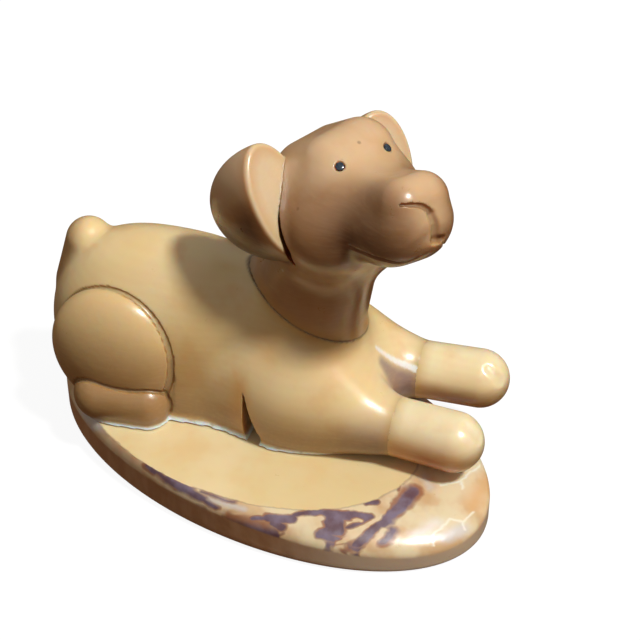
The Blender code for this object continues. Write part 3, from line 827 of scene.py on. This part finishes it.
def polish(n, shader, place, rough, extra=None):
    """Uneven gloss, hand-rubbed waviness and fine scratches; it is duller where extra is 1."""
    smear = n.noise(place, 0.45, 3.0)
    fine = n.noise(place, 5.0)
    gloss = n.maths("MULTIPLY_ADD", smear, GLOSS_SPREAD, rough - GLOSS_SPREAD / 2)
    gloss = n.maths("ADD", gloss, n.times(fine, 0.05))
    if extra is not None:
        gloss = n.maths("MULTIPLY_ADD", extra, 0.35, gloss)
    n.put(gloss, shader.inputs["Roughness"])
    wave = n.maths("MULTIPLY_ADD", fine, 0.10, n.noise(place, 0.8, 1.0))
    bump = n.add("Bump", {"Height": wave, "Strength": 1.0, "Distance": WAVE_HEIGHT * MM})
    n.put(bump.outputs[0], shader.inputs["Normal"])


def streak(n, place, start, end, width, soft):
    """1 within a width of the line between two places, fading over a soft edge."""
    start, end = np.array(start), np.array(end)
    along = end - start
    off = n.vector("SUBTRACT", place, tuple(start))
    share = n.vector("DOT_PRODUCT", off, tuple(along / max(along @ along, 1e-6)), output="Value")
    share = n.maths("ADD", share, 0.0, clamp=True)
    away = n.vector("DISTANCE", off, n.scaled(tuple(along), share), output="Value")
    return n.step(away, width + soft, width - soft)


def streaks(n, place, lines):
    """The union of streaks given by where they start and end on the slice, half width and soft edge."""
    return n.highest([streak(n, place, (*line[:2], 0.0), (*line[2:4], 0.0), *line[4:]) for line in lines])


def spots(n, place, centres, radius):
    """1 inside small round spots."""
    away = [n.vector("DISTANCE", place, tuple(centre), output="Value") for centre in centres]
    return n.highest([n.step(distance, radius * 1.5, radius * 0.5) for distance in away])


# ------ materials
def pale_marks(n, place):
    """Pale marks along the neck's seam, broken up by noise, and a pale chip behind the ear."""
    points = np.array(CHIP_LINE) + DOG_AT
    lines = [streak(n, place, start, end, *CHIP_EDGE) for start, end in zip(points[:-1], points[1:])]
    broken = n.times(n.highest(lines), n.step(n.noise(place, 0.9, 3.0), 0.42, 0.55))
    return n.highest([broken, spots(n, place, from_head([CHIP]) + DOG_AT, CHIP_RADIUS)])


def nut(name, light, deep, warm, grime, dusk, pale=None, hip=None, glue=None):
    """Polished nut: clouded cream or brown, painted warm glow where it is thin, painted shade in the cuts."""
    mat, shader, n, place = polished(name, ROUGH, COAT, 0.55, (2.6, 0.9, 0.3))
    colour = n.mix(n.step(n.noise(place, 0.09), 0.35, 0.65), light, deep)
    tint = n.step(n.noise(n.vector("ADD", place, ASIDE), 0.17, 3.0), 0.52, 0.72, 0.3)
    colour = n.mix(tint, colour, warm)
    bands = n.add("TexWave", {"Vector": place, "Scale": 0.35, "Distortion": 5.0, "Detail": 2.0,
                              "Detail Scale": 0.25}, wave_type="RINGS").outputs["Fac"]
    colour = n.mix(n.times(bands, 0.03), colour, warm, "MULTIPLY")
    if hip is not None:
        colour = n.mix(n.times(n.mark("hip"), 0.9), colour, hip)
        colour = n.mix(n.mark("wrist"), colour, WRIST)
    if pale is not None:
        # Pale ear fronts, and painted sheen on the ears' upper outer sides.
        colour = n.mix(n.mark("pale"), colour, pale)
    # Painted shade: sides facing down and the deep-shade places turn darker and richer.
    low = n.highest([n.mark("low"), n.mark("rich")])
    colour = n.mix(low, colour, SHADE_TONE, "MULTIPLY")
    # The stain on the far foreleg, and painted shade on the ears, the muzzle and under the paws.
    colour = n.mix(n.mark("dusk"), colour, dusk)
    # Painted glow: warm where the nut is thin and at a shadow's edge.
    colour = n.mix(n.times(n.mark("thin"), 0.6), colour, warm)
    fibre = n.noise(n.vector("MULTIPLY", place, (0.5, 1.0, 3.0)), 1.1, 3.0)
    colour = n.mix(n.step(fibre, 0.4, 0.75, 0.10), colour, deep)
    # The nut's own dark specks, and the painted shade in cuts and creases, in one dark colour.
    specks = n.times(spots(n, place, from_head(SPECKS) + DOG_AT, SPECK_RADIUS), 0.6)
    ragged = n.step(n.noise(place, 2.2, 3.0), 0.25, 0.6)
    dark = n.times(n.highest([n.mark("grime"), specks]), n.maths("MULTIPLY_ADD", ragged, 0.25, 0.72))
    colour = n.mix(dark, colour, grime)
    colour = n.mix(n.times(n.mark("seam"), 0.8), colour, SEAM_DARK)
    colour = n.mix(pale_marks(n, place), colour, CHIP_WHITE)
    if glue is not None:
        patchy = n.step(n.noise(place, 0.7, 4.0), 0.2, 0.5)
        colour = n.mix(n.times(n.mark("glue"), patchy), colour, glue)
    n.put(colour, shader.inputs["Base Color"])
    polish(n, shader, place, ROUGH, dark)
    return mat


def marbled(n, place, flat, drift, bent):
    """The nut's own skin: cream to tan, smoky patches, purple marbling, pale veins; painted sheen and glare.
    """
    skin = n.mix(n.step(n.noise(place, 0.22, 3.0), 0.4, 0.65), SKIN_CREAM, SKIN_TAN)
    for lines, tone in ((AMBER, AMBER_TONE), (SKY_SHEEN, SHEEN_TONE), (SMOKE_AND_GLARE, SMOKE_GLARE_TONE)):
        skin = n.mix(n.times(streaks(n, bent, lines), 0.8), skin, tone)
    wide = n.moved(place, drift, (3.0, 3.0, 0.0))
    hidden = n.step(n.noise(wide, 0.16, 3.0), 0.52, 0.57)
    hidden = n.times(hidden, n.maths("SUBTRACT", 1.0, streaks(n, flat, [SHOWN])))
    purple = n.highest([streaks(n, bent, PURPLE), hidden])
    purple = n.times(purple, n.maths("SUBTRACT", 1.0, streaks(n, bent, CREAM)))
    edge = n.times(n.times(purple, n.maths("SUBTRACT", 1.0, purple)), 4.0)
    inky = n.mix(n.step(n.noise(place, 0.5, 3.0), 0.3, 0.7), PURPLE_DARK, PURPLE_PALE)
    skin = n.mix(purple, skin, inky)
    rusty = n.maths("MULTIPLY_ADD", n.step(n.noise(place, 0.35), 0.4, 0.6), 0.5, 0.2)
    skin = n.mix(n.times(edge, rusty), skin, RUST)
    veins = [(*start, *end, *VEIN_EDGE) for vein in VEINS for start, end in zip(vein[:-1], vein[1:])]
    return n.mix(n.times(streaks(n, bent, veins), 0.85), skin, VEIN)


def nut_skin(name):
    """The slice: sanded cream flesh on top, marbled skin round it and a brown side wall."""
    mat, shader, n, place = polished(name, ROUGH, COAT, 0.4, (2.0, 0.8, 0.3))
    drop = n.maths("SUBTRACT", SLICE, n.axis(place, "Z"))
    flat = n.vector("MULTIPLY", place, (1.0, 1.0, 0.0))
    flat = n.vector("ADD", flat, n.scaled((*UNROLL, 0.0), drop))
    drift, shiver = (n.vector("SUBTRACT", n.noise(place, scale, detail, output=1), (0.5, 0.5, 0.5))
                     for scale, detail in ((0.4, 2.0), (1.6, 3.0)))
    bent = n.moved(n.moved(flat, drift, (1.1, 1.1, 0.0)), shiver, (0.3, 0.3, 0.0))
    ragged = n.axis(n.moved(drift, shiver, (0.3, 0.3, 0.3)), "Z")

    top = n.mix(n.step(n.noise(place, 0.10, 3.0), 0.35, 0.65), FLESH, FLESH_DEEP)
    top = n.mix(n.step(n.noise(place, 0.2, 2.0, 0.6), 0.5, 0.7, 0.35), top, FLESH_WARM)
    beyond = n.maths("MULTIPLY_ADD", ragged, 0.9, n.mark("beyond"))
    colour = n.mix(n.step(beyond, -0.12, 0.12), top, marbled(n, place, flat, drift, bent))
    edge = n.times(n.step(beyond, -0.2, 0.0), n.step(beyond, 0.35, 0.05))
    colour = n.mix(n.times(edge, 0.3), colour, PURPLE_DARK)

    grain = n.noise(n.vector("MULTIPLY", place, (0.5, 0.5, 0.15)), 1.2, 3.0)
    wall = n.mix(n.step(grain, 0.4, 0.7), WALL_DARK, WALL_PALE)
    wall = n.mix(n.step(n.axis(place, "X"), *WALL_TURN), wall, WALL_TAN)
    over = n.maths("MULTIPLY_ADD", ragged, 0.4, n.mark("over"))
    colour = n.mix(n.step(over, 0.25, -0.25), colour, wall)
    n.put(colour, shader.inputs["Base Color"])
    polish(n, shader, place, ROUGH)
    return mat


def inlay(name):
    mat, shader, n, place = polished(name, 0.15, 0.5, 0.0, (1.0, 1.0, 1.0))
    fleck = n.step(n.noise(place, 3.0, 3.0), 0.4, 0.7)
    n.put(n.mix(fleck, INLAY, INLAY_PALE), shader.inputs["Base Color"])
    polish(n, shader, place, 0.18)
    return mat


# ------ pieces
def new_object(name, data):
    obj = bpy.data.objects.new(name, data)
    bpy.context.scene.collection.objects.link(obj)
    return obj


def add_piece(name, mesh, mat, nodes):
    obj = new_object(name, mesh)
    mesh.materials.append(mat)
    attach(obj, "root")
    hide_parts(*nodes)


def smooth_mesh(name, points, faces):
    mesh = bpy.data.meshes.new(name)
    mesh.from_pydata((points * MM).tolist(), [], faces)
    mesh.shade_smooth()
    return mesh


def stack(name, rings, tip=None):
    """A closed mesh through rings of points from the bottom up, with a flat or a pointed top."""
    here = np.arange(len(rings[0]))
    there = np.roll(here, -1)
    quads = np.stack([here, there, there + len(here), here + len(here)], axis=1)
    faces = np.concatenate([quads + ring * len(here) for ring in range(len(rings) - 1)]).tolist()
    faces.append(here[::-1].tolist())
    points, last = np.concatenate(rings), (len(rings) - 1) * len(here)
    if tip is None:
        faces.append((here + last).tolist())
    else:
        faces += np.stack([here + last, there + last, np.full(len(here), len(points))], axis=1).tolist()
        points = np.vstack([points, tip])
    return smooth_mesh(name, points, faces)


def set_marks(mesh, marks):
    for name, values in marks.items():
        layer = mesh.attributes.new(name, "FLOAT", "POINT")
        layer.data.foreach_set("value", values.astype(np.float32))


def carve(name, field, box, cell, mat, marks):
    """Mesh a carved piece, with normals from its field and marks for its material."""
    points, quads = surface(field, *box, cell)
    out = outward(field, points)
    mesh = smooth_mesh(name, points + DOG_AT, quads.tolist())
    found = marks(points)
    # Painted glow where the piece is thin.
    thin = ramp(sample(field, points - out * THIN), THIN_FADE, 0.0)
    found["thin"] = np.maximum(thin, found.get("thin", 0.0))
    # Painted shade on sides that face down.
    found["low"] = soft_step(out[:, 2], *SHADE_FACING)
    set_marks(mesh, found)
    add_piece(name, mesh, mat, [name])
    mesh.normals_split_custom_set_from_vertices(out.tolist())


# ------ slice
AROUND = np.radians(np.arange(0.0, 360.0, 1.5))         # stations round the slice
UNDER_SHARES = (0.02, 0.3, 0.6, 0.85, 0.95)             # rings on the underside, as shares of it
ROUND_STEPS = np.radians(np.arange(0.0, 90.0, 15.0))    # up the rounding under the wall
WALL_RINGS = 9
SKIN_STEPS = np.radians(np.linspace(86.0, 0.0, 26))     # from the wall in to the flat top
TOP_SHARES = (0.985, 0.96, 0.92, 0.85, 0.7, 0.5, 0.3, 0.02)


def oval(centre, half, height):
    """Points round an oval that is turned with the slice."""
    flat = np.stack([centre[0] + half[0] * np.cos(AROUND), centre[1] + half[1] * np.sin(AROUND)], axis=1)
    flat = flat @ rotation(SLICE_TURN)[:2, :2].T
    return np.column_stack([flat, np.broadcast_to(height, len(AROUND))])


def slice_rings():
    """Ovals from the underside's middle up the wall and over the skin to the middle of the top.

    With each goes how far it lies beyond the flat top's edge and above the wall's top edge.
    """
    nose = np.clip(np.cos(AROUND - np.radians(WALL_DIP_AT)), 0.0, 1.0)
    rim = WALL_TOP - WALL_DIP * nose ** WALL_DIP_POWER
    middle, half = np.zeros(2), np.array(SLICE_HALF)
    flat_at, flat_half = np.array(FLAT_CENTRE), np.array(FLAT_HALF)
    width = length(oval(middle, half, 0.0) - oval(flat_at, flat_half, 0.0))
    for share in UNDER_SHARES:
        yield oval(middle, half * share, 0.0), width, -rim
    for angle in ROUND_STEPS:
        height = WALL_ROUND * (1.0 - np.cos(angle)) * rim / WALL_TOP
        yield oval(middle, half - WALL_ROUND * (1.0 - np.sin(angle)), height), width, height - rim
    for share in np.linspace(WALL_ROUND / WALL_TOP, 1.0, WALL_RINGS):
        yield oval(middle, half, rim * share), width, rim * (share - 1.0)
    for out in np.sin(SKIN_STEPS):
        fall = SKIN_SLOPE * out + (1.0 - SKIN_SLOPE) * (1.0 - np.sqrt(1.0 - out * out))
        ring = oval(flat_at * (1.0 - out), flat_half * (1.0 - out) + half * out, SLICE - (SLICE - rim) * fall)
        yield ring, width * out, (SLICE - rim) * (1.0 - fall)
    for share in TOP_SHARES:
        beyond = (share - 1.0) * length(oval(middle, flat_half, 0.0))
        yield oval(flat_at, flat_half * share, SLICE), beyond, SLICE - rim


def make_slice(mat):
    rings, beyond, over = zip(*slice_rings())
    mesh = stack("base", rings)
    for name, values in (("beyond", beyond), ("over", over)):
        set_marks(mesh, {name: np.concatenate([np.broadcast_to(value, len(AROUND)) for value in values])})
    add_piece("base", mesh, mat, ["base"])


# ------ eyes
EYE_SIDES = 32
# Rings from an eye's back to its domed face: share of its radius and height over the face of the head.
EYE_RINGS = ((0.9, -0.28), (1.0, -0.2), (1.0, -0.04), (0.97, 0.0), (0.88, 0.03), (0.6, 0.06), (0.3, 0.075))
EYE_TIP = 0.08


def make_eye(eye, mat):
    """A round black inlay with a low domed face."""
    name = eye + "_eye"
    place, out = eye_place(eye)
    across = np.cross(out, (0.0, 0.0, 1.0))
    across /= np.linalg.norm(across)
    up = np.cross(out, across)
    angles = np.linspace(0.0, 2.0 * np.pi, EYE_SIDES, endpoint=False)
    circle = np.cos(angles)[:, None] * across + np.sin(angles)[:, None] * up
    place = place + DOG_AT
    rings = [place + out * height + circle * EYE["radius"] * share for share, height in EYE_RINGS]
    add_piece(name, stack(name, rings, place + out * EYE_TIP), mat, [name])


# ------ build
# Boxes that the carved pieces lie in, and the edge of the head's finer meshing cell.
BODY_BOX = ((-31, -15, 5), (22, 15, 32))
HEAD_BOX = ((-9, -18, 19), (30, 18, 56))
PAW_BOX = ((18, -6, 5), (33, 6, 16))    # Y from the leg's middle
HEAD_CELL = 0.84 * CELL


def build():
    cream = nut("cream_nut", **CREAM_NUT)
    brown = nut("brown_nut", **BROWN_NUT)
    pale = nut("pale_nut", **PALE_NUT)
    make_slice(nut_skin("nut_slice"))
    carve("body", fine_body, BODY_BOX, CELL, cream, body_marks)
    carve("head", fine_head, HEAD_BOX, HEAD_CELL, brown, head_marks)
    black = inlay("black_inlay")
    for name, side in SIDES.items():
        box = np.array(PAW_BOX) + (0, LEG["tip"][1] * side, 0)
        carve(name + "_forepaw", fine_paw(side), box, CELL, pale, paw_marks)
        make_eye(name, black)


# ------ studio
# The camera and the key light's direction, both fitted to the photo.  The camera's are degrees round from
# the dog's right side and above the table, its distance and target are in mm.
CAMERA = dict(azimuth=19.0, elevation=40.0, distance=218.4, lens=100.9, target=(4.5, 5.7, 18.1))
FLOOR_HALF = 3.0                # metres
FLOOR_GLOW = 0.92
KEY = dict(direction=(0.48, -0.14, 0.87), strength=3.0, colour=(1.0, 0.985, 0.96), angle=7.0)
SKY_LOW, SKY_HIGH = (0.12, 0.055, 0.025), (0.33, 0.33, 0.32)


def make_camera():
    azimuth, elevation = np.radians(CAMERA["azimuth"]), np.radians(CAMERA["elevation"])
    level = np.cos(elevation)
    back = np.array([np.sin(azimuth) * level, -np.cos(azimuth) * level, np.sin(elevation)])
    camera = bpy.data.cameras.new("camera")
    camera.lens = CAMERA["lens"]
    camera.sensor_width = 36.0
    camera.clip_start = 0.01
    obj = new_object("camera", camera)
    obj.location = (CAMERA["target"] + back * CAMERA["distance"]) * MM
    obj.rotation_euler = (np.pi / 2 - elevation, 0.0, azimuth)
    bpy.context.scene.camera = obj


def make_floor():
    """A pale floor that glows evenly, so that it adds no light of its own to the object."""
    mesh = bpy.data.meshes.new("floor")
    corners = ((-1, -1), (1, -1), (1, 1), (-1, 1))
    mesh.from_pydata([(x * FLOOR_HALF, y * FLOOR_HALF, 0.0) for x, y in corners], [], [(0, 1, 2, 3)])
    mat, _ = new_material("floor", {
        "Base Color": (0.12, 0.12, 0.12, 1.0), "Emission Color": (1.0, 1.0, 1.0, 1.0),
        "Emission Strength": FLOOR_GLOW, "Roughness": 0.9, "Specular IOR Level": 0.0})
    mesh.materials.append(mat)
    floor = new_object("floor", mesh)
    floor.visible_diffuse = False
    floor.visible_glossy = False


def make_light():
    """One soft key light, and a sky that is warm below and neutral above."""
    key = bpy.data.lights.new("key", "SUN")
    key.energy = KEY["strength"]
    key.color = KEY["colour"]
    key.angle = np.radians(KEY["angle"])
    obj = new_object("key", key)
    direction = Vector(KEY["direction"]).normalized()
    obj.location = direction * 0.6
    obj.rotation_euler = direction.to_track_quat("Z", "Y").to_euler()

    world = bpy.data.worlds.new("studio")
    world.use_nodes = True
    n = Nodes(world.node_tree)
    up = n.axis(n.add("TexCoord").outputs["Generated"], "Z")
    sky = n.mix(n.step(up, -0.1, 0.5), SKY_LOW, SKY_HIGH)
    n.put(sky, world.node_tree.nodes["Background"].inputs["Color"])
    bpy.context.scene.world = world
    bpy.context.scene.view_settings.view_transform = "Standard"


build()
make_camera()
make_floor()
make_light()
